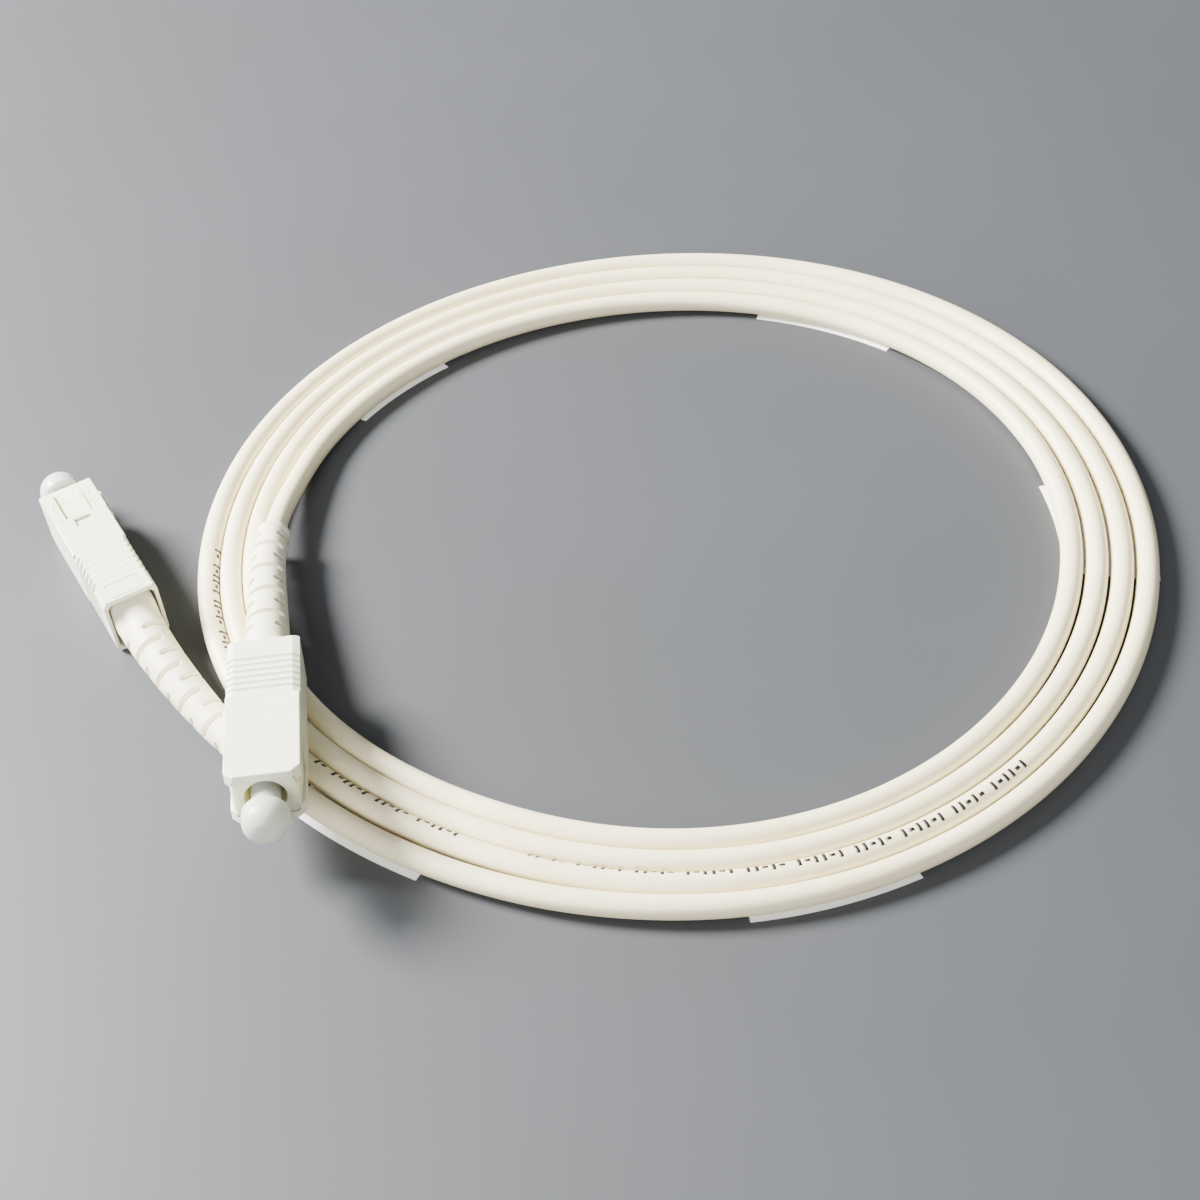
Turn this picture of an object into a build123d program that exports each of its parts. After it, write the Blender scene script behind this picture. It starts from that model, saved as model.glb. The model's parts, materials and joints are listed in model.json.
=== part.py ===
from build123d import *
from math import cos, pi, radians, sin, sqrt, tan
import os

# Simplex SC to SC fibre optic patch cord, coiled flat, with a dust cap on each plug.
# Frame: +Z up, z = 0 is the surface that the cord lies on, origin under the middle of
# the whole object, +X across the coil from the plugs, +Y away from plug B's nose.

# ---------------------------------------------------------------- driving dimensions, mm
CABLE_D = 3.0
CABLE_R = CABLE_D / 2
STRIP_T = 0.12                        # adhesive strip under the coil
CABLE_Z = STRIP_T + CABLE_R           # centre height of a cable that lies on a strip

TURNS = 4                             # turns side by side, turn 0 is the innermost
COIL_CENTRE = (11.87, 1.97)
COIL_R = 62.56                        # centreline of the outermost turn
COIL_OVAL = ((2, 1.35, -0.22), (3, -0.13, 0.42))   # order, cosine part, sine part
PITCH = 3.19                          # mean spacing of the turns
PITCH_RIGHT = 0.14                    # looser at the right of the coil
PITCH_BACK = 0.10                     # and at its back
STEP_FROM, STEP_TO = -112.0, -170.0   # every turn steps out by one pitch between these
LAST_OUT, LAST_FROM, LAST_OVER = 0.5, -98.0, 20.0  # the last turn stands off before it leaves
LEAD_A_ANGLE = -138.0                 # where the last turn leaves the coil
LEAD_B_ANGLE = 150.0                  # where the first turn joins it

COIL_BEVEL = 0.85
# Each strip's middle angle, length along the outer turn, how far it shows past the turns,
# and how far it is skewed inwards at its far end.
STRIPS = (
    (58.3, 26.4, 0.05, 0.0),
    (137.0, 20.0, 0.1, 0.0),
    (-3.7, 20.0, -0.16, 0.5),
    (-77.0, 20.9, 0.05, 0.0),
    (-132.0, 20.0, 0.4, 0.0),
)

GRIP_L, GRIP_W, GRIP_H = 25.6, 9.0, 7.4
GRIP_EDGE_R = 0.22
NOSE_CUT = 1.1                        # front corners of the grip, cut at 45 degrees
HOLD_FRONT = -14.5                    # the part that fingers hold, from here to the rear
HOLD_BEVEL_W, HOLD_BEVEL_H = 0.85, 0.4
FRONT_W, FRONT_H, FRONT_L = 7.3, 5.4, 13.0      # grip's front cavity, round the frame
REAR_W, REAR_H = 7.9, 6.5             # grip's rear cavity, round the boot
REAR_BEVEL = 0.6
WINDOW_L, WINDOW_H = 7.3, 4.0         # latch window in each narrow side
POCKET_L, POCKET_W, POCKET_GAP, POCKET_DEPTH = 1.65, 2.3, 0.6, 0.35
STEP_L, STEP_DEPTH = 7.6, 0.08        # the narrow sides are this much lower at the front
SEAM_Z, SEAM_L, SEAM_BACK = 2.55, 3.9, 3.6      # fine groove beside each window
GROOVES, GROOVE_PITCH, GROOVE_R, GROOVE_FIRST = 6, 1.17, 0.4, -15.7
GROOVE_OUT_W, GROOVE_OUT_H, GROOVE_CORNER_R = 0.36, 0.12, 0.4
PAD_FRONT, PAD_REAR, PAD_H = -22.3, -24.9, 4.3   # outlined pad on each narrow side
LINE_W, LINE_DEPTH = 0.2, 0.14        # the fine grooves that outline it
KEY_L, KEY_W, KEY_H, KEY_BACK = 5.0, 2.2, 0.8, 0.6

FRAME_W, FRAME_H, FRAME_L = 7.2, 5.3, 14.0
FRAME_FRONT = -0.15
FRAME_BEVEL = 0.4
BORE_R, BORE_DEPTH = 2.5, 6.6
THROAT_R, THROAT_L = 1.6, 0.6
CAVITY_R = 2.35
PLATE_H, PLATE_ROOT = 3.35, 3.0
PLATE_OUTLINE = ((-0.15, 3.6), (-0.45, 3.9), (-3.5, 4.1), (-3.55, 3.96), (-3.8, 3.96),
                 (-3.85, 4.14), (-7.0, 4.14))    # (x, y) down the plug

FERRULE_R, FERRULE_L, FERRULE_TIP = 1.25, 10.5, 1.9
FIBRE_R = 0.0625
FIBRE_BORE_R = 0.075
FLANGE_R, FLANGE_L = 2.2, 2.35
FLANGE_FRONT = -7.25
NOTCH_W, NOTCH_DEPTH, NOTCH_BACK = 0.8, 0.35, 0.5
TAIL_R, TAIL_BORE_R, TAIL_END = 1.15, 0.55, -15.5
SPRING_R, SPRING_WIRE_R, SPRING_TURNS = 1.72, 0.22, 5
SPRING_FRONT, SPRING_REAR = -9.9, -14.5

SPIGOT_BORE_R, SPIGOT_FRONT = 2.05, -12.8
COLLAR_R, COLLAR_REAR = 2.6, -17.0
NECK_R, NECK_BORE_R, NECK_REAR = 1.75, 1.3, -24.0
SEAT_X = -14.8
YARN_R = 1.95
CRIMP_R, CRIMP_FRONT = 2.3, -17.5
CRIMP_TAIL_R, CRIMP_REAR = 1.85, -27.0
JACKET_FRONT = -24.2
BUFFER_R, BUFFER_FRONT = 0.45, -10.2
FIBRE_GAP, FIBRE_PLAY = 0.1, 1.6      # room in the buffer tube for the fibre to go back

BOOT_FRONT, BOOT_STRAIGHT = -19.0, -31.5
BOOT_OUT = 26.9                       # length outside the grip
BOOT_COLLAR_W, BOOT_COLLAR_H, BOOT_COLLAR_BEVEL, BOOT_COLLAR_REAR = 7.4, 6.1, 1.4, -26.4
BOOT_R, BOOT_TAIL_R = 2.94, 2.12
BOOT_CAVITY_R, BOOT_CAVITY_REAR = 2.4, -27.3
BOOT_BORE_R = 1.56
BOOT_STATIONS = 9

CAP_REAR, CAP_NECK_R, CAP_BORE_R = -5.0, 1.75, 1.27
CAP_HEAD_REAR, CAP_HEAD_L, CAP_HEAD_R = 2.5, 3.75, 2.8
CAP_DOME_R, CAP_RIM_R = 2.4, 0.25
CAP_END_GAP = 0.3                     # between the ferrule's tip and the end of the cap's bore

# Plug A stands on its narrow side on the surface, plug B lies across the coil, nose up.
PLUG_A_NOSE = (-72.22, 12.29, 4.5)
PLUG_A_HEADING = 118.5
PLUG_B_NOSE = (-39.03, -47.05, 11.44)
PLUG_B_HEADING = -84.5
PLUG_B_RISE = 9.6
PLUG_B_ROLL = -1.9
EASE = 0.45                           # share of the shorter run that an arc takes


# ---------------------------------------------------------------- the coil's layout
def smooth(t):
    t = min(max(t, 0.0), 1.0)
    return t * t * (3 - 2 * t)


def pitch_at(angle):
    a = radians(angle)
    return PITCH + PITCH_RIGHT * cos(a) + PITCH_BACK * sin(a)


def turn_radius(angle, turn):
    """Centreline radius of a turn, at an angle from -180 to 180 degrees."""
    a = radians(angle)
    outer = COIL_R + sum(c * cos(n * a) + s * sin(n * a) for n, c, s in COIL_OVAL)
    stepped = smooth((angle - STEP_FROM) / (STEP_TO - STEP_FROM))
    if turn == TURNS - 1:
        outer += LAST_OUT * smooth((LAST_FROM - angle) / LAST_OVER)
    return outer - pitch_at(angle) * (TURNS - 1 - turn - stepped)


def coil_point(angle, radius, z=0.0):
    a = radians(angle)
    return Vector(COIL_CENTRE[0] + radius * cos(a), COIL_CENTRE[1] + radius * sin(a), z)


def angles_between(first, last, step=6.0):
    count = max(2, round(abs(last - first) / step) + 1)
    return [first + (last - first) * i / (count - 1) for i in range(count)]


# ---------------------------------------------------------------- small helpers
def across(x):
    """Plane across the plug's axis: its own x is the plug's y, its own y the plug's z."""
    return Plane((x, 0, 0), x_dir=(0, 1, 0), z_dir=(1, 0, 0))


def rod(radius, x0, x1):
    """A cylinder along the plug's axis, from x0 to x1."""
    on_end = (Align.CENTER, Align.CENTER, Align.MIN)
    return across(min(x0, x1)) * Cylinder(radius, abs(x1 - x0), align=on_end)


def bar(x0, x1, width, height, y=0.0, z=0.0):
    return Pos((x0 + x1) / 2, y, z) * Box(abs(x1 - x0), width, height)


def octagon(w, h, bevel_w, bevel_h):
    """Corners of a rectangle of half width w and half height h with its corners cut off."""
    flat_w, flat_h = w - bevel_w, h - bevel_h
    return ((w, flat_h), (flat_w, h), (-flat_w, h), (-w, flat_h),
            (-w, -flat_h), (-flat_w, -h), (flat_w, -h), (w, -flat_h))


def bevelled_bar(x0, x1, width, height, bevel_w, bevel_h=None):
    """A bar with its four long edges cut off, bevel_w across and bevel_h down."""
    corners = octagon(width / 2, height / 2, bevel_w, bevel_h or bevel_w)
    section = make_face(Polyline(*corners, close=True))
    return extrude(across(min(x0, x1)) * section, abs(x1 - x0))


def route(points, label):
    """Straight runs joined by tangent arcs, each with the largest radius that fits."""
    points = [Vector(*p) for p in points]
    edges = []
    start = points[0]
    for before, corner, after in zip(points, points[1:], points[2:]):
        back = before - corner
        ahead = after - corner
        turn = pi - radians(back.get_angle(ahead))
        reach = EASE * min(back.length, ahead.length)
        radius = reach / tan(turn / 2)
        print(f"{label}: turn {turn * 180 / pi:.1f} degrees, radius {radius:.1f} mm")
        arc_start = corner + back.normalized() * reach
        arc_end = corner + ahead.normalized() * reach
        inward = (back.normalized() + ahead.normalized()).normalized()
        middle = corner + inward * (radius / cos(turn / 2) - radius)
        edges.append(Line(start, arc_start))
        edges.append(ThreePointArc(arc_start, middle, arc_end))
        start = arc_end
    edges.append(Line(start, points[-1]))
    return Wire([e.edge() for e in edges])


def tube_along(wire, radius):
    return sweep(Plane(wire @ 0, z_dir=wire % 0) * Circle(radius), path=wire)


# ---------------------------------------------------------------- plug pieces, nose at x = 0
def make_shell():
    """The grip's outside before its openings: sharp at the front, bevelled where it is held."""
    block = bar(-GRIP_L, 0, GRIP_W, GRIP_H)
    for side in (-1, 1):
        corner = Pos(0, side * GRIP_W / 2, 0) * Rot(0, 0, 45)
        block -= corner * Box(NOSE_CUT * sqrt(2), NOSE_CUT * sqrt(2), GRIP_H)
    block = fillet(block.edges(), GRIP_EDGE_R)
    hold = (-GRIP_L - 1, HOLD_FRONT)
    outside = bar(*hold, GRIP_W + 1, GRIP_H + 1)
    return block - (outside - bevelled_bar(*hold, GRIP_W, GRIP_H, HOLD_BEVEL_W, HOLD_BEVEL_H))


def make_groove(x):
    """A round-bottomed groove right round the shell, very shallow on the narrow sides."""
    w, h = GRIP_W / 2 + GROOVE_OUT_W, GRIP_H / 2 + GROOVE_OUT_H
    corners = octagon(w, h, w - GRIP_W / 2 + HOLD_BEVEL_W, h - GRIP_H / 2 + HOLD_BEVEL_H)
    loop = (across(x) * FilletPolyline(*corners, radius=GROOVE_CORNER_R, close=True)).wire()
    return sweep(Plane(loop @ 0, z_dir=loop % 0) * Circle(GROOVE_R), path=loop)


def side_cut(x0, x1, z0, z1, side, depth):
    """A shallow box to cut into the grip's narrow side."""
    return bar(x0, x1, 2 * depth, abs(z1 - z0), y=side * GRIP_W / 2, z=(z0 + z1) / 2)


def make_side_cuts(side):
    cuts = side_cut(-STEP_L, 1, -GRIP_H, GRIP_H, side, STEP_DEPTH)
    x = -WINDOW_L - POCKET_GAP
    cuts += side_cut(x - POCKET_L, x, -POCKET_W / 2, POCKET_W / 2, side, POCKET_DEPTH)
    half = PAD_H / 2
    for x in (PAD_FRONT, PAD_REAR):
        cuts += side_cut(x - LINE_W, x, -half, half, side, LINE_DEPTH)
    for z in (-half, half):
        cuts += side_cut(PAD_REAR, PAD_FRONT, z - LINE_W / 2, z + LINE_W / 2, side, LINE_DEPTH)
    for z in (-SEAM_Z, SEAM_Z):
        seam = (-SEAM_BACK - SEAM_L, -SEAM_BACK, z - LINE_W / 2, z + LINE_W / 2)
        cuts += side_cut(*seam, side, STEP_DEPTH + LINE_DEPTH)
    return cuts


def make_grip():
    block = make_shell()
    for i in range(GROOVES):
        block -= make_groove(GROOVE_FIRST - i * GROOVE_PITCH)
    key_z = -GRIP_H / 2 - KEY_H / 2
    block += bar(-KEY_BACK - KEY_L, -KEY_BACK, KEY_W, KEY_H + 1, z=key_z + 0.5)
    block -= bar(-FRONT_L, 1, FRONT_W, FRONT_H)
    block -= bevelled_bar(-GRIP_L - 1, -FRONT_L, REAR_W, REAR_H, REAR_BEVEL)
    block -= bar(-WINDOW_L, 1, GRIP_W + 1, WINDOW_H)
    for side in (-1, 1):
        block -= make_side_cuts(side)
    return block


def make_plug_frame():
    block = bevelled_bar(-FRAME_L, FRAME_FRONT, FRAME_W, FRAME_H, FRAME_BEVEL)
    front, rear = PLATE_OUTLINE[0][0], PLATE_OUTLINE[-1][0]
    corners = ((rear, PLATE_ROOT), (front, PLATE_ROOT), *PLATE_OUTLINE)
    outline = make_face(Polyline(*corners, close=True))
    plate = Pos(0, 0, -PLATE_H / 2) * extrude(outline, PLATE_H, dir=(0, 0, 1))
    block += plate + Rot(180, 0, 0) * plate
    block -= rod(BORE_R, -BORE_DEPTH, 1)
    block -= rod(THROAT_R, -BORE_DEPTH - THROAT_L, 0)
    block -= rod(CAVITY_R, -FRAME_L - 1, -BORE_DEPTH - THROAT_L)
    return block


def make_ferrule():
    body = rod(FERRULE_R, FERRULE_TIP - FERRULE_L, FERRULE_TIP)
    tip = body.edges().filter_by(GeomType.CIRCLE).sort_by(Axis.X)[-1]
    return chamfer(tip, 0.3) - rod(FIBRE_BORE_R, -FERRULE_L, FERRULE_TIP + 1)


def make_flange():
    rear = FLANGE_FRONT - FLANGE_L
    body = rod(FLANGE_R, rear, FLANGE_FRONT) + rod(TAIL_R, TAIL_END, rear)
    for turn in range(4):
        notch = bar(rear, FLANGE_FRONT - NOTCH_BACK, 2 * NOTCH_DEPTH, NOTCH_W, y=FLANGE_R)
        body -= Rot(turn * 90, 0, 0) * notch
    body -= rod(FERRULE_R, FERRULE_TIP - FERRULE_L, 0)
    return body - rod(TAIL_BORE_R, TAIL_END - 1, 0)


def make_spring():
    length = SPRING_FRONT - SPRING_REAR
    coil = Helix(pitch=length / SPRING_TURNS, height=length, radius=SPRING_R)
    wire = sweep(Plane(coil @ 0, z_dir=coil % 0) * Circle(SPRING_WIRE_R), path=coil, is_frenet=True)
    return Plane((SPRING_REAR, 0, 0), x_dir=(0, 1, 0), z_dir=(1, 0, 0)) * wire


def make_rear_body():
    body = rod(CAVITY_R, -FRAME_L, SPIGOT_FRONT) + rod(COLLAR_R, COLLAR_REAR, -FRAME_L)
    body += rod(NECK_R, NECK_REAR, COLLAR_REAR)
    body -= rod(SPIGOT_BORE_R, SEAT_X, 0)
    return body - rod(NECK_BORE_R, NECK_REAR - 1, 0)


def make_yarn():
    return rod(YARN_R, NECK_REAR, CRIMP_FRONT) - rod(NECK_R, NECK_REAR - 1, 0)


def make_crimp():
    body = rod(CRIMP_R, JACKET_FRONT, CRIMP_FRONT) + rod(CRIMP_TAIL_R, CRIMP_REAR, JACKET_FRONT)
    return body - rod(YARN_R, NECK_REAR, 0) - rod(CABLE_R, CRIMP_REAR - 1, 0)


def make_buffer_tube():
    channel = rod(FIBRE_BORE_R, BUFFER_FRONT - FIBRE_PLAY, BUFFER_FRONT + 1)
    return rod(BUFFER_R, JACKET_FRONT, BUFFER_FRONT) - channel


def make_cap():
    head = rod(CAP_HEAD_R, CAP_HEAD_REAR, CAP_HEAD_REAR + CAP_HEAD_L)
    rims = head.edges().filter_by(GeomType.CIRCLE).sort_by(Axis.X)
    head = fillet(rims[-1], CAP_DOME_R)
    head = fillet(head.edges().filter_by(GeomType.CIRCLE).sort_by(Axis.X)[0], CAP_RIM_R)
    cap = head + rod(CAP_NECK_R, CAP_REAR, CAP_HEAD_REAR + CAP_RIM_R)
    return cap - rod(CAP_BORE_R, CAP_REAR - 1, FERRULE_TIP + CAP_END_GAP)


PLUG_PIECES = {
    "grip": make_grip,
    "plug_frame": make_plug_frame,
    "ferrule": make_ferrule,
    "ferrule_flange": make_flange,
    "ferrule_spring": make_spring,
    "rear_body": make_rear_body,
    "aramid_yarn": make_yarn,
    "crimp_ring": make_crimp,
    "buffer_tube": make_buffer_tube,
    "fibre": lambda: rod(FIBRE_R, BUFFER_FRONT + FIBRE_GAP, FERRULE_TIP),
    "dust_cap": make_cap,
}


# ---------------------------------------------------------------- where the plugs lie
def plug_place(nose, heading, rise, roll):
    """Plane at the plug's nose: x along the nose, z out of the face without the key."""
    h, r, k = radians(heading), radians(rise), radians(roll)
    ahead = Vector(cos(h) * cos(r), sin(h) * cos(r), sin(r))
    left = Vector(-sin(h), cos(h), 0)
    up = ahead.cross(left)
    return Plane(nose, x_dir=ahead, z_dir=up * cos(k) - left * sin(k))


PLACE_A = plug_place(PLUG_A_NOSE, PLUG_A_HEADING, 0, -90)
PLACE_B = plug_place(PLUG_B_NOSE, PLUG_B_HEADING, PLUG_B_RISE, PLUG_B_ROLL)


def on_axis(place, x):
    return place.origin + place.x_dir * x


# ---------------------------------------------------------------- cable, boots and strips
LEAD_A_POINTS = (
    on_axis(PLACE_A, JACKET_FRONT),
    on_axis(PLACE_A, BOOT_STRAIGHT),
    (-45.97, -31.79, 2.2),
    coil_point(LEAD_A_ANGLE, turn_radius(LEAD_A_ANGLE, TURNS - 1), CABLE_Z),
)
LEAD_B_POINTS = (
    on_axis(PLACE_B, JACKET_FRONT),
    on_axis(PLACE_B, BOOT_STRAIGHT),
    coil_point(178.5, turn_radius(178.5, 0) + 0.9, 4.2),
    coil_point(160, turn_radius(160, 0), 2.1),
    coil_point(LEAD_B_ANGLE, turn_radius(LEAD_B_ANGLE, 0), CABLE_Z),
)


def make_coil():
    """The flat coil's outer shape: a ring with one cable end leaving each rim."""
    last = TURNS - 1
    rim = [coil_point(a, turn_radius(a, last) + CABLE_R) for a in angles_between(LEAD_A_ANGLE, 180)]
    rim += [coil_point(a, turn_radius(a, last - 1) + CABLE_R)
            for a in angles_between(-180, LEAD_A_ANGLE)[1:]]
    eye = [coil_point(a, turn_radius(a, 0) - CABLE_R) for a in angles_between(LEAD_B_ANGLE, -180)]
    eye += [coil_point(a, turn_radius(a, 1) - CABLE_R) for a in angles_between(180, LEAD_B_ANGLE)[1:]]
    faces = []
    for points in (rim, eye):
        curve = Spline(*points)
        outline = Wire([curve.edge(), Line(points[-1], points[0]).edge()])
        faces.append(Face(outline))
    ring = faces[0] - faces[1]
    slab = Pos(0, 0, STRIP_T) * extrude(ring, CABLE_D, dir=(0, 0, 1))
    return chamfer(slab.edges().filter_by(GeomType.BSPLINE), COIL_BEVEL)


def make_boot(place, wire):
    """Hollow bend relief: a squared collar inside the grip, then a taper along the cable."""
    straight = (JACKET_FRONT - BOOT_CAVITY_REAR) / wire.length
    rear = (BOOT_OUT + GRIP_L + JACKET_FRONT) / wire.length
    sections = []
    for i in range(BOOT_STATIONS):
        s = i / (BOOT_STATIONS - 1)
        at = straight + (rear - straight) * s
        radius = BOOT_R + (BOOT_TAIL_R - BOOT_R) * s
        sections.append(Plane(wire @ at, z_dir=wire % at) * Circle(radius))
    taper = loft(sections) - tube_along(wire, BOOT_BORE_R)
    collar = bevelled_bar(BOOT_COLLAR_REAR, BOOT_FRONT, BOOT_COLLAR_W, BOOT_COLLAR_H, BOOT_COLLAR_BEVEL)
    collar += rod(BOOT_R, BOOT_CAVITY_REAR, BOOT_COLLAR_REAR)
    return place.location * (collar - rod(BOOT_CAVITY_R, BOOT_CAVITY_REAR, BOOT_FRONT + 1)) + taper


def make_strip(angle, length, margin, skew):
    """A strip across all the turns, its ends cut along the cable."""
    half = length / 2 / COIL_R * 180 / pi
    angles = angles_between(angle - half, angle + half, 4.0)
    shifts = [skew * (a - angle) / half for a in angles]
    outer = [coil_point(a, turn_radius(a, TURNS - 1) + CABLE_R + margin - shift)
             for a, shift in zip(angles, shifts)]
    inner = [coil_point(a, turn_radius(a, 0) - CABLE_R - margin - shift)
             for a, shift in zip(angles, shifts)]
    inner.reverse()
    outline = Wire([
        Spline(*outer).edge(),
        Line(outer[-1], inner[0]).edge(),
        Spline(*inner).edge(),
        Line(inner[-1], outer[0]).edge(),
    ])
    return extrude(Face(outline), STRIP_T, dir=(0, 0, 1))


def make_all():
    parts = {}
    for name, place, points in (("a", PLACE_A, LEAD_A_POINTS), ("b", PLACE_B, LEAD_B_POINTS)):
        for piece, make in PLUG_PIECES.items():
            parts[f"{piece}_{name}"] = place.location * make()
        wire = route(points, f"lead_{name}")
        lead = tube_along(wire, CABLE_R)
        parts[f"lead_{name}"] = lead
        print(f"lead_{name}: length {wire.length:.1f} mm, volume {lead.volume:.1f},",
              f"section times length {pi * CABLE_R ** 2 * wire.length:.1f}")
        parts[f"boot_{name}"] = make_boot(place, wire)
    parts["coil"] = make_coil() - parts["lead_a"] - parts["lead_b"] - parts["boot_b"]
    for i, strip in enumerate(STRIPS):
        parts[f"tape_strip_{i + 1}"] = make_strip(*strip)
    return parts


os.makedirs("parts", exist_ok=True)
for node, shape in make_all().items():
    export_step(shape, f"parts/{node}.step")
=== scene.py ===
import bpy
import json
from math import cos, hypot, radians, sin, sqrt
from mathutils import Matrix, Vector


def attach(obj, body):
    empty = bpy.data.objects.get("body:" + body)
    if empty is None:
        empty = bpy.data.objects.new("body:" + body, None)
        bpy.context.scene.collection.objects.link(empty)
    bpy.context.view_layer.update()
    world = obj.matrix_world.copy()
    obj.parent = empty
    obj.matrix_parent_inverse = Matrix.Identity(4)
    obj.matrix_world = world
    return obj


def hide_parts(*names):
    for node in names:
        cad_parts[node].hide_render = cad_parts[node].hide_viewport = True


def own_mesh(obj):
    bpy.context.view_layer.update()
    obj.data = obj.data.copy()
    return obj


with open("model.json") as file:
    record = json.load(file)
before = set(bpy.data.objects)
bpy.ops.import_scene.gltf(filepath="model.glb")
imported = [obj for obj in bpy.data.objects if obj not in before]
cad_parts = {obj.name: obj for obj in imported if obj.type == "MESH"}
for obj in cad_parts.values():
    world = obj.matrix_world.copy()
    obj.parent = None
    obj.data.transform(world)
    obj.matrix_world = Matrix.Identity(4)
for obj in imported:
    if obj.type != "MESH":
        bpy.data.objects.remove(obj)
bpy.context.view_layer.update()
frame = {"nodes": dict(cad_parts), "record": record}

MM = 0.001                  # sizes are in millimetres until they are given to Blender


# ---------------------------------------------------------------- the design's own numbers
CABLE_D = 3.0
CABLE_R = CABLE_D / 2
CABLE_Z = 1.62              # centre height of a cable that lies on a strip

COIL_CENTRE = (11.87, 1.97)
COIL_R = 62.56              # centreline of the outermost turn
COIL_OVAL = ((2, 1.35, -0.22), (3, -0.13, 0.42))    # order, cosine part, sine part
TURNS = 4                   # side by side, turn 0 is the innermost
PITCH, PITCH_RIGHT, PITCH_BACK = 3.19, 0.14, 0.10   # mean spacing, and what is added at the right and back
STEP_FROM, STEP_TO = -112.0, -170.0                 # each turn steps out by one pitch between these angles
LAST_OUT, LAST_FROM, LAST_OVER = 0.5, -98.0, 20.0   # the last turn stands off before it leaves
LEAD_A_ANGLE, LEAD_B_ANGLE = -138.0, 150.0          # where the last turn leaves and the first one joins
POINTS_PER_TURN = 36

# Points of the leads: along a plug's axis, free in the frame, or off the innermost turn at an angle.
JACKET_FRONT = -24.2        # where the cable starts inside each plug, along the plug's axis
LEAD_A_BEND = -31.5         # the cable starts to leave the axis here
LEAD_A_SWAY = Vector((-0.6, 0, 0))      # and is this far off it
LEAD_A_FREE = Vector((-46.16, -31.06, 2.26))
LEAD_B_BEND = -31.5
LEAD_B_RISE = ((160, 0.0, 2.1), (178.5, 0.9, 4.2))  # angle, distance outwards, height

GRIP_L = 25.6
BOOT_FRONT = -19.0          # along the plug's axis
BOOT_OUT = 26.9             # length outside the grip
BOOT_R, BOOT_TAIL_R = 2.94, 2.12
BOOT_COLLAR_W, BOOT_COLLAR_H = 7.4, 6.1

ROLL_A, ROLL_B = -90.0, -1.9    # plug A stands on its narrow side


# ---------------------------------------------------------------- small helpers
def smooth(t):
    """Eases from 0 to 1 as t goes from 0 to 1."""
    t = min(max(t, 0.0), 1.0)
    return t * t * (3 - 2 * t)


def place_of(mount, roll):
    """Nose point, direction and upper face's direction of a plug, in millimetres."""
    found = next(m for m in frame["record"]["mounts"] if m["name"] == mount)
    nose = Vector(found["pos_m"]) / MM
    ahead = Vector(found["axis"]).normalized()
    left = Vector((0, 0, 1)).cross(ahead).normalized()
    up = ahead.cross(left)
    k = radians(roll)
    return nose, ahead, up * cos(k) - left * sin(k)


PLUG_A = place_of("sc_plug_a", ROLL_A)
PLUG_B = place_of("sc_plug_b", ROLL_B)


def on_axis(plug, x):
    return plug[0] + plug[1] * x


def finish_piece(piece, material, body):
    piece.data.materials.append(material)
    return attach(piece, body)


def new_mesh(name, points, faces):
    mesh = bpy.data.meshes.new(name)
    mesh.from_pydata([p * MM for p in points], [], faces)
    mesh.validate()
    for face in mesh.polygons:
        face.use_smooth = True
    piece = bpy.data.objects.new(name, mesh)
    bpy.context.scene.collection.objects.link(piece)
    return piece


# ---------------------------------------------------------------- camera
CAMERA_LENS = 54.94         # focal length, for the usual 36 mm wide sensor
CAMERA_AIM = Vector((1.086, -8.744, 0.0))
CAMERA_ELEVATION = 46.732   # degrees above the floor, seen from the front
CAMERA_DISTANCE = 246.089
CAMERA_ROLL = -4.1034
CAMERA_NEAREST = 10         # nothing closer than this is drawn


def make_camera():
    data = bpy.data.cameras.new("camera")
    data.lens = CAMERA_LENS
    data.clip_start = CAMERA_NEAREST * MM
    camera = bpy.data.objects.new("camera", data)
    bpy.context.scene.collection.objects.link(camera)
    e = radians(CAMERA_ELEVATION)
    back = Vector((0, -cos(e), sin(e)))
    turn = back.to_track_quat("Z", "Y").to_matrix() @ Matrix.Rotation(radians(CAMERA_ROLL), 3, "Z")
    camera.matrix_world = Matrix.Translation((CAMERA_AIM + back * CAMERA_DISTANCE) * MM) @ turn.to_4x4()
    bpy.context.scene.camera = camera


# ---------------------------------------------------------------- the cable's route
def turn_radius(angle, turn):
    a = radians(angle)
    outer = COIL_R + sum(c * cos(n * a) + s * sin(n * a) for n, c, s in COIL_OVAL)
    pitch = PITCH + PITCH_RIGHT * cos(a) + PITCH_BACK * sin(a)
    stepped = smooth((angle - STEP_FROM) / (STEP_TO - STEP_FROM))
    if turn == TURNS - 1:
        outer += LAST_OUT * smooth((LAST_FROM - angle) / LAST_OVER)
    return outer - pitch * (TURNS - 1 - turn - stepped)


def coil_point(angle, radius, z=CABLE_Z):
    a = radians(angle)
    return Vector((COIL_CENTRE[0] + radius * cos(a), COIL_CENTRE[1] + radius * sin(a), z))


def coil_points():
    """From the innermost turn to the outermost, clockwise seen from above."""
    step = 360 / POINTS_PER_TURN
    outside = 1 / cos(radians(step / 2))        # the spline runs this much inside its points
    wound = LEAD_B_ANGLE + 180 + 360 * (TURNS - 2) + 180 - LEAD_A_ANGLE
    count = round(wound / step)
    points = []
    for i in range(count + 1):
        turned = wound * i / count
        turn, rest = divmod(turned + 180 - LEAD_B_ANGLE, 360)
        angle = 180 - rest
        points.append(coil_point(angle, turn_radius(angle, int(turn)) * outside))
    return points


def cable_points():
    lead_a = [
        on_axis(PLUG_A, JACKET_FRONT),
        on_axis(PLUG_A, LEAD_A_BEND) + LEAD_A_SWAY,
        LEAD_A_FREE,
    ]
    rise = [coil_point(angle, turn_radius(angle, 0) + out, z) for angle, out, z in LEAD_B_RISE]
    lead_b = rise + [on_axis(PLUG_B, LEAD_B_BEND), on_axis(PLUG_B, JACKET_FRONT)]
    return lead_a + coil_points()[::-1] + lead_b


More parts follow.
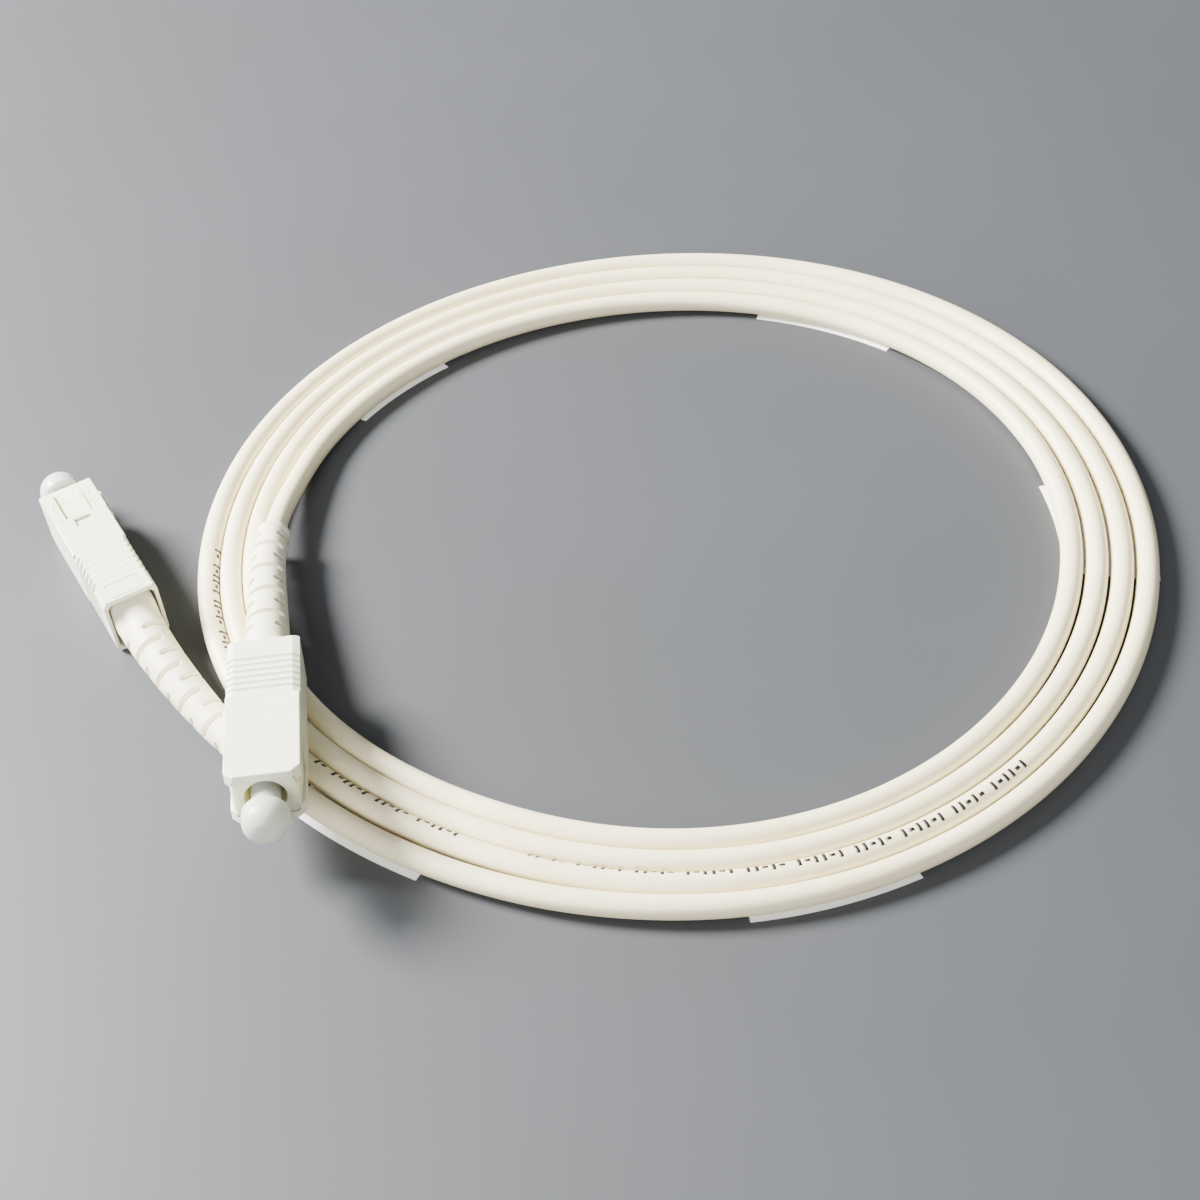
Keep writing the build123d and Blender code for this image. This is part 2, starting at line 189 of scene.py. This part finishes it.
def make_route(points):
    """One open NURBS curve, with no thickness yet."""
    data = bpy.data.curves.new("patch_cable", "CURVE")
    data.dimensions = "3D"
    spline = data.splines.new("NURBS")
    spline.points.add(len(points) - 1)
    for point, place in zip(spline.points, points):
        point.co = (*(place * MM), 1)
    spline.order_u = 3
    spline.use_endpoint_u = True
    data.resolution_u = 6
    route = bpy.data.objects.new("patch_cable", data)
    bpy.context.scene.collection.objects.link(route)
    return route


def read_line(route):
    """The smooth line of a curve, in millimetres, with the way along it at each point."""
    bpy.context.view_layer.update()
    depsgraph = bpy.context.evaluated_depsgraph_get()
    mesh = bpy.data.meshes.new_from_object(route.evaluated_get(depsgraph))
    points = [v.co / MM for v in mesh.vertices]
    bpy.data.meshes.remove(mesh)
    along = [0.0]
    for a, b in zip(points, points[1:]):
        along.append(along[-1] + (b - a).length)
    return points, along


def line_at(line, s):
    """Place and direction at s millimetres along the line."""
    points, along = line
    low, high = 0, len(along) - 1
    while high - low > 1:
        middle = (low + high) // 2
        if along[middle] <= s:
            low = middle
        else:
            high = middle
    step = points[high] - points[low]
    return points[low] + step * ((s - along[low]) / step.length), step.normalized()


def smooth_line_at(line, s, reach=1.0):
    """As line_at, with the direction taken over a short stretch."""
    here, _ = line_at(line, s)
    last = line[1][-1]
    before, _ = line_at(line, max(s - reach, 0.0))
    after, _ = line_at(line, min(s + reach, last))
    return here, (after - before).normalized()


# ---------------------------------------------------------------- materials
class Nodes:
    """A short way to write a node tree."""

    def __init__(self, name):
        self.material = bpy.data.materials.new(name)
        self.material.use_nodes = True
        self.tree = self.material.node_tree
        self.shader = self.tree.nodes["Principled BSDF"]
        self.place = self.add("ShaderNodeTexCoord").outputs["Object"]

    def add(self, kind, **settings):
        node = self.tree.nodes.new(kind)
        for key, value in settings.items():
            setattr(node, key, value)
        return node

    def link(self, source, target):
        self.tree.links.new(source, target)

    def noise(self, size_mm, detail=3.0, rough=0.55):
        """Noise whose lumps are about that many millimetres across."""
        node = self.add("ShaderNodeTexNoise")
        node.inputs["Scale"].default_value = 1 / (size_mm * MM)
        node.inputs["Detail"].default_value = detail
        node.inputs["Roughness"].default_value = rough
        self.link(self.place, node.inputs["Vector"])
        return node.outputs["Fac"]

    def spread(self, value, low, high, to_low, to_high):
        node = self.add("ShaderNodeMapRange")
        for socket, number in zip(("From Min", "From Max", "To Min", "To Max"),
                                  (low, high, to_low, to_high)):
            node.inputs[socket].default_value = number
        self.link(value, node.inputs["Value"])
        return node.outputs["Result"]

    def mix(self, factor, first, second):
        """A blend of two colours; the node's colour sockets have these numbers."""
        node = self.add("ShaderNodeMix", data_type="RGBA")
        for socket, value in ((0, factor), (6, first), (7, second)):
            if isinstance(value, (int, float)):
                node.inputs[socket].default_value = value
            elif isinstance(value, tuple):
                node.inputs[socket].default_value = (*value, 1)
            else:
                self.link(value, node.inputs[socket])
        return node.outputs[2]

    def bump(self, height, depth_mm, strength=1.0, under=None):
        node = self.add("ShaderNodeBump")
        node.inputs["Strength"].default_value = strength
        node.inputs["Distance"].default_value = depth_mm * MM
        self.link(height, node.inputs["Height"])
        if under:
            self.link(under, node.inputs["Normal"])
        return node.outputs["Normal"]

    def set(self, **values):
        """Sockets by name, with _ for a space."""
        for key, value in values.items():
            socket = self.shader.inputs[key.replace("_", " ")]
            if isinstance(value, (int, float, tuple)):
                socket.default_value = value
            else:
                self.link(value, socket)


def srgb(r, g, b):
    """Linear colour of a screen colour from 0 to 255."""
    def one(v):
        v = v / 255
        return v / 12.92 if v <= 0.04045 else ((v + 0.055) / 1.055) ** 2.4
    return one(r), one(g), one(b)


DUST = srgb(150, 138, 118)


def plastic(name, colour, tint, roughness, grain_mm, grain_depth, soft=0.0, soft_mm=0.6, speck=0.0):
    """Moulded or extruded plastic: slight colour drift, uneven gloss, fine grain, dust specks."""
    n = Nodes(name)
    drift = n.spread(n.noise(9.0, 4.0), 0.35, 0.65, 0.0, 1.0)
    base = n.mix(drift, colour, tint)
    fine = n.spread(n.noise(0.9, 5.0, 0.65), 0.45, 0.75, 0.0, 0.35)
    base = n.mix(fine, base, tuple(c * 0.93 for c in tint))
    if speck:
        dots = n.spread(n.noise(0.45, 2.0, 0.5), 0.76, 0.80, 0.0, speck)
        base = n.mix(dots, base, DUST)
    n.set(Base_Color=base)
    n.set(Roughness=n.spread(n.noise(2.6, 6.0, 0.7), 0.3, 0.7, roughness - 0.06, roughness + 0.08))
    waves = n.bump(n.noise(3.5, 2.0), 0.02, 0.5)
    n.set(Normal=n.bump(n.noise(grain_mm, 4.0, 0.6), grain_depth, 0.6, under=waves))
    n.set(IOR=1.5, Subsurface_Weight=soft, Subsurface_Scale=soft_mm * MM,
          Subsurface_Radius=(1.0, 0.95, 0.75))
    return n.material


def metal(name, colour, dull, roughness):
    """Plain metal, duller in patches."""
    n = Nodes(name)
    n.set(Base_Color=n.mix(n.spread(n.noise(1.2, 6.0, 0.7), 0.35, 0.7, 0.0, 1.0), colour, dull))
    n.set(Metallic=1.0)
    n.set(Roughness=n.spread(n.noise(0.5, 6.0, 0.7), 0.3, 0.7, roughness - 0.08, roughness + 0.12))
    n.set(Normal=n.bump(n.noise(0.12, 3.0), 0.006, 0.5))
    return n.material


def frosted(name):
    """Milky translucent cap."""
    n = Nodes(name)
    cloud = n.spread(n.noise(1.6, 4.0), 0.35, 0.65, 0.0, 1.0)
    n.set(Base_Color=n.mix(cloud, srgb(232, 236, 226), srgb(221, 227, 216)))
    n.set(Roughness=n.spread(n.noise(0.7, 5.0, 0.7), 0.3, 0.7, 0.36, 0.5))
    n.set(Normal=n.bump(n.noise(0.25, 4.0, 0.6), 0.012, 0.6))
    n.set(IOR=1.5, Transmission_Weight=0.35, Coat_Weight=0.2)
    n.set(Subsurface_Weight=0.7, Subsurface_Scale=1.5 * MM, Subsurface_Radius=(0.9, 1.0, 0.9))
    return n.material


def yarn(name):
    """Yellow fibres."""
    n = Nodes(name)
    n.set(Base_Color=n.mix(n.spread(n.noise(0.25, 8.0, 0.8), 0.35, 0.65, 0.0, 1.0),
                           srgb(226, 196, 96), srgb(196, 160, 66)))
    n.set(Roughness=0.7)
    n.set(Normal=n.bump(n.noise(0.12, 6.0, 0.8), 0.03, 0.9))
    return n.material


def printing_ink(name):
    """Dark ink, a little thin in places."""
    n = Nodes(name)
    thin = n.spread(n.noise(0.25, 4.0, 0.7), 0.45, 0.7, 0.0, 1.0)
    n.set(Base_Color=n.mix(thin, srgb(14, 9, 7), srgb(52, 38, 30)))
    n.set(Roughness=0.5)
    n.set(Normal=n.bump(n.noise(0.15, 3.0), 0.004, 0.5))
    return n.material


MATERIALS = {
    "cable_jacket": plastic("cable_jacket", srgb(243, 233, 198), srgb(238, 226, 187), 0.42, 0.35, 0.006,
                            soft=0.05, speck=0.35),
    "boot": plastic("boot", srgb(242, 235, 212), srgb(237, 229, 203), 0.46, 0.25, 0.008,
                    soft=0.03, speck=0.2),
    "housing": plastic("housing", srgb(236, 237, 216), srgb(231, 232, 209), 0.34, 0.22, 0.008,
                       soft=0.03, speck=0.2),
    "frame": plastic("frame", srgb(250, 246, 218), srgb(246, 240, 204), 0.38, 0.2, 0.006, soft=0.6,
                     soft_mm=2.0),
    "ceramic": plastic("ceramic", srgb(248, 247, 242), srgb(242, 240, 233), 0.14, 0.1, 0.001, soft=0.1),
    "buffer": plastic("buffer", srgb(244, 242, 236), srgb(238, 235, 228), 0.45, 0.1, 0.003),
    "tape": plastic("tape", srgb(252, 252, 252), srgb(247, 248, 250), 0.5, 0.18, 0.008, speck=0.2),
    "glass_fibre": plastic("glass_fibre", srgb(225, 235, 240), srgb(210, 225, 235), 0.1, 0.05, 0.001),
    "cap": frosted("cap"),
    "steel": metal("steel", srgb(188, 188, 190), srgb(160, 160, 163), 0.3),
    "spring": metal("spring", srgb(198, 198, 202), srgb(170, 170, 175), 0.22),
    "nickel": metal("nickel", srgb(200, 198, 190), srgb(178, 174, 162), 0.28),
    "crimp": metal("crimp", srgb(196, 196, 198), srgb(170, 170, 172), 0.34),
    "aramid": yarn("aramid"),
    "ink": printing_ink("ink"),
}


def dress_cad_nodes():
    for part in frame["record"]["subparts"]:
        node = frame["nodes"][part["node"]]
        node.data.materials.clear()
        node.data.materials.append(MATERIALS[part["material_slot"]])


# ---------------------------------------------------------------- boots
SLOT_HALF_W = 0.31          # along the boot
SLOT_EDGE = 0.09            # rounding of a slot's edge
SLOT_HALF_ANGLE = 60.0      # round the boot; every slot has a twin opposite
SLOT_PITCH = 2.5            # every second pair is turned by 90 degrees
SLOT_FIRST = 4.5            # behind the grip
SLOT_COUNT = 9
SLOT_DEPTH = 0.85
SLOT_FLOOR_R = 1.66         # never deeper than this
TWIST_A, TWIST_B = 36, 90   # where the first slots sit, in degrees from the plug's top
TAPER_FROM = 2.5            # behind the grip
LIP_L, LIP_R, LIP_RISE = 0.9, 0.16, 0.3         # length at the tail, how far out, length of its slope
TAIL_EDGE_R = 0.3
COLLAR_BLEND = (-1.2, 2.4)  # where the squared collar turns round
COLLAR_SQUARENESS = 4       # 2 would be an ellipse
BORE_ROOM = 0.06            # round the cable
BORE_BEVEL, BORE_FLAT = 0.12, 0.02
COLLAR_BORE_R = 2.4
BORE_FROM, BORE_TO = 20.0, 6.0      # the bore's straight stretch; it widens in front of that
BOOT_AROUND = 144
# Places of the boot's rings: behind the grip, to either side of a slot's middle, before the tail's end.
NEAR_GRIP = (-4.0, -2.0, -0.5, 0.2, 0.6, 1.0, 1.4, 1.8, 2.2, 2.6, 3.0, 3.4)
NEAR_SLOT = (0.0, 0.12, 0.21, 0.25, 0.29, 0.33, 0.37, 0.41, 0.55, 0.8)
NEAR_TAIL = (1.6, 1.3, 1.2, 1.1, 1.0, 0.8, 0.5, 0.3, 0.22, 0.14, 0.08, 0.04, 0.015, 0.0)


def boot_outer(d, angle):
    """Outer radius at d millimetres behind the grip: squared collar, taper, lip at the tail."""
    taper = (d - TAPER_FROM) / (BOOT_OUT - TAPER_FROM)
    radius = BOOT_R + (BOOT_TAIL_R - BOOT_R) * min(max(taper, 0.0), 1.0)
    to_tail = BOOT_OUT - d
    radius += LIP_R * smooth((LIP_L + LIP_RISE - to_tail) / LIP_RISE)
    if to_tail < TAIL_EDGE_R:
        radius -= TAIL_EDGE_R - sqrt(max(TAIL_EDGE_R ** 2 - (TAIL_EDGE_R - to_tail) ** 2, 0.0))
    begin, end = COLLAR_BLEND
    rounded = smooth((d - begin) / (end - begin))
    if rounded < 1:
        a = radians(angle)
        n = COLLAR_SQUARENESS
        across = (abs(sin(a)) / (BOOT_COLLAR_W / 2)) ** n + (abs(cos(a)) / (BOOT_COLLAR_H / 2)) ** n
        radius = rounded * radius + (1 - rounded) * across ** (-1 / n)
    return radius


def slot_depth(d, angle, twist):
    """How far the slots cut in, from 0 to 1, at a place on the boot."""
    deepest = 0.0
    for k in range(SLOT_COUNT):
        off = d - (SLOT_FIRST + k * SLOT_PITCH)
        if abs(off) > SLOT_HALF_W + SLOT_EDGE:
            continue
        centre = twist + 90 * (k % 2)
        turned = (angle - centre + 90) % 180 - 90
        radius = boot_outer(d, angle)
        half_length = radians(SLOT_HALF_ANGLE) * radius - SLOT_HALF_W
        past_end = max(abs(radians(turned)) * radius - half_length, 0.0)
        outside = hypot(past_end, off) - SLOT_HALF_W
        deepest = max(deepest, 1 - smooth((outside + SLOT_EDGE) / (2 * SLOT_EDGE)))
    return deepest


def boot_stations():
    """Places along the boot, closer together at each slot's edges and at the tail."""
    places = [-BOOT_FRONT - GRIP_L, *NEAR_GRIP]
    for k in range(SLOT_COUNT):
        middle = SLOT_FIRST + k * SLOT_PITCH
        for half in NEAR_SLOT:
            places += [middle - half, middle + half]
    places += [BOOT_OUT - back for back in NEAR_TAIL]
    return sorted({round(d, 3) for d in places})


def boot_frame(plug, line, back, d):
    """Centre and two cross directions at d behind the grip; back says that the line ends there."""
    x = -GRIP_L - d
    if x > JACKET_FRONT:
        centre, way = on_axis(plug, x), -plug[1]
    else:
        s = JACKET_FRONT - x
        if back:
            centre, way = smooth_line_at(line, line[1][-1] - s)
            way = -way
        else:
            centre, way = smooth_line_at(line, s)
    up = (plug[2] - way * plug[2].dot(way)).normalized()
    return centre, way.cross(up), up


def make_boot(name, plug, line, back, twist):
    """A closed skin: rings along the outside to the tail, then back through the bore."""
    points = []
    faces = []
    rings = []

    def ring(d, radius_of):
        centre, side, up = boot_frame(plug, line, back, d)
        first = len(points)
        for j in range(BOOT_AROUND):
            angle = 360 * j / BOOT_AROUND
            a = radians(angle)
            points.append(centre + (side * sin(a) + up * cos(a)) * radius_of(angle))
        rings.append(first)

    def slotted(d, angle):
        outer = boot_outer(d, angle)
        return outer - min(SLOT_DEPTH, outer - SLOT_FLOOR_R) * slot_depth(d, angle, twist)

    for d in boot_stations():
        ring(d, lambda angle: slotted(d, angle))
    bore = CABLE_R + BORE_ROOM
    inside = ((BOOT_OUT - BORE_FLAT, bore + BORE_BEVEL), (BOOT_OUT - BORE_BEVEL, bore), (BORE_FROM, bore),
              (BORE_TO, bore), (-BOOT_FRONT - GRIP_L, COLLAR_BORE_R))
    for d, radius in inside:
        ring(d, lambda angle: radius)
    for a, b in zip(rings, rings[1:] + rings[:1]):
        for j in range(BOOT_AROUND):
            k = (j + 1) % BOOT_AROUND
            faces.append((a + j, a + k, b + k, b + j))
    return new_mesh(name, points, faces)


def make_float_spring(letter):
    """A copy of the CAD spring's own shape, on the cord's body, in place of the CAD node."""
    source = frame["nodes"]["ferrule_spring_" + letter]
    mesh = source.data.copy()
    mesh.transform(source.matrix_world)
    spring = bpy.data.objects.new("float_spring_" + letter, mesh)
    bpy.context.scene.collection.objects.link(spring)
    mesh.materials.clear()
    finish_piece(spring, MATERIALS["spring"], "cord")
    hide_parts(source.name)
    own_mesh(spring)


# ---------------------------------------------------------------- printing on the cable
# Plain bars and dashes in place of lettering. For each run: the angles of the coil where it
# starts and ends, and how far it leans at each end from the cable's top towards the coil's middle.
INK_RUNS = ((-49, -112, -12, 55), (-121, -143, 38, 38), (-162, -182, 45, 58))
INK_TURN = 2
INK_PITCH = 1.0             # from one mark to the next
BAR, DASH, SPACE = (0.42, 1.25), (0.7, 0.46), (0.0, 0.0)      # along and round the cable
INK_MARKS = (BAR, DASH, BAR, BAR, DASH, BAR, SPACE, DASH, BAR, DASH, BAR, BAR, SPACE)
INK_ABOVE, INK_BELOW = 0.015, 0.05      # how far a mark reaches out of and into the jacket
INK_AROUND = 6
INK_REACH = 0.4             # the cable's direction is taken over this much to either side


def nearest_along(line, place):
    """How far along the line its nearest point to a place is."""
    points, along = line
    gaps = [(p - place).length for p in points]
    return along[gaps.index(min(gaps))]


def ink_grid(line, s, lean, size, height):
    """Points of one mark's face, in a row across each of its ends."""
    grid = []
    for end in (-0.5, 0.5):
        centre, way = smooth_line_at(line, s + end * size[0], INK_REACH)
        inward = Vector((COIL_CENTRE[0], COIL_CENTRE[1], centre.z)) - centre
        inward = (inward - way * inward.dot(way)).normalized()
        up = inward.cross(way)
        if up.z < 0:
            up = -up
        for j in range(INK_AROUND):
            turn = radians(lean) + size[1] / CABLE_R * (j / (INK_AROUND - 1) - 0.5)
            grid.append(centre + (up * cos(turn) + inward * sin(turn)) * (CABLE_R + height))
    return grid


def mark_faces():
    """Faces of one mark: two rows of points above, then the same two rows below."""
    near, far, near_below, far_below = (row * INK_AROUND for row in range(4))
    last = INK_AROUND - 1
    faces = []
    for j in range(last):
        faces.append((near + j, near + j + 1, far + j + 1, far + j))
        faces.append((near_below + j, far_below + j, far_below + j + 1, near_below + j + 1))
        faces.append((near + j, near_below + j, near_below + j + 1, near + j + 1))
        faces.append((far + j, far + j + 1, far_below + j + 1, far_below + j))
    faces.append((near, far, far_below, near_below))
    faces.append((near + last, near_below + last, far_below + last, far + last))
    return faces


MARK_FACES = mark_faces()


def make_ink(line):
    """Thin closed patches that hug the cable, all in one piece."""
    points = []
    faces = []
    for first, last, lean_from, lean_to in INK_RUNS:
        ends = [coil_point(angle, turn_radius(angle, INK_TURN)) for angle in (first, last)]
        start, stop = (nearest_along(line, end) for end in ends)
        count = int(abs(stop - start) / INK_PITCH)
        for i in range(count):
            size = INK_MARKS[i % len(INK_MARKS)]
            if size == SPACE:
                continue
            t = i / count
            lean = lean_from + (lean_to - lean_from) * smooth(t)
            s = start + (stop - start) * t
            faces += [tuple(len(points) + corner for corner in face) for face in MARK_FACES]
            points += ink_grid(line, s, lean, size, INK_ABOVE)
            points += ink_grid(line, s, lean, size, -INK_BELOW)
    return new_mesh("ink_marks", points, faces)


# ---------------------------------------------------------------- lights and floor, in metres
FLOOR_HALF = 1.5


def make_floor():
    n = Nodes("floor")
    n.set(Base_Color=n.mix(n.spread(n.noise(60.0, 3.0), 0.3, 0.7, 0.0, 1.0),
                           srgb(66, 68, 72), srgb(63, 65, 68)))
    n.set(Roughness=0.55)
    mesh = bpy.data.meshes.new("floor")
    corners = [(x * FLOOR_HALF, y * FLOOR_HALF, 0) for x, y in ((-1, -1), (1, -1), (1, 1), (-1, 1))]
    mesh.from_pydata(corners, [], [(0, 1, 2, 3)])
    mesh.materials.append(n.material)
    floor = bpy.data.objects.new("floor", mesh)
    bpy.context.scene.collection.objects.link(floor)


def make_light(name, place, size, power, colour):
    """A round light that points at the origin."""
    data = bpy.data.lights.new(name, "AREA")
    data.shape = "DISK"
    data.size = size
    data.energy = power
    data.color = colour
    light = bpy.data.objects.new(name, data)
    light.location = place
    light.rotation_euler = (-Vector(place)).to_track_quat("-Z", "Y").to_euler()
    bpy.context.scene.collection.objects.link(light)


def make_studio():
    world = bpy.data.worlds.new("studio")
    world.use_nodes = True
    background = world.node_tree.nodes["Background"]
    background.inputs["Color"].default_value = (0.93, 0.96, 1.0, 1)
    background.inputs["Strength"].default_value = 0.42
    bpy.context.scene.world = world
    make_light("key", (-0.60, 0.25, 0.46), 0.3, 56.0, (1.0, 0.99, 0.965))
    make_light("front", (-0.25, -0.75, 0.5), 0.5, 8.0, (1.0, 0.99, 0.97))


# ---------------------------------------------------------------- build
make_camera()
make_studio()
make_floor()
dress_cad_nodes()

cable = make_route(cable_points())
line = read_line(cable)
cable.data.bevel_depth = CABLE_R * MM
cable.data.bevel_resolution = 7
cable.data.use_fill_caps = True
finish_piece(cable, MATERIALS["cable_jacket"], "cord")
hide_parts("coil", "lead_a", "lead_b")
ink = make_ink(line)
finish_piece(ink, MATERIALS["ink"], "cord")

boot_a = make_boot("bend_relief_a", PLUG_A, line, False, TWIST_A)
finish_piece(boot_a, MATERIALS["boot"], "cord")
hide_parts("boot_a")
boot_b = make_boot("bend_relief_b", PLUG_B, line, True, TWIST_B)
finish_piece(boot_b, MATERIALS["boot"], "cord")
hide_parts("boot_b")

for letter, plug in (("a", PLUG_A), ("b", PLUG_B)):
    make_float_spring(letter)
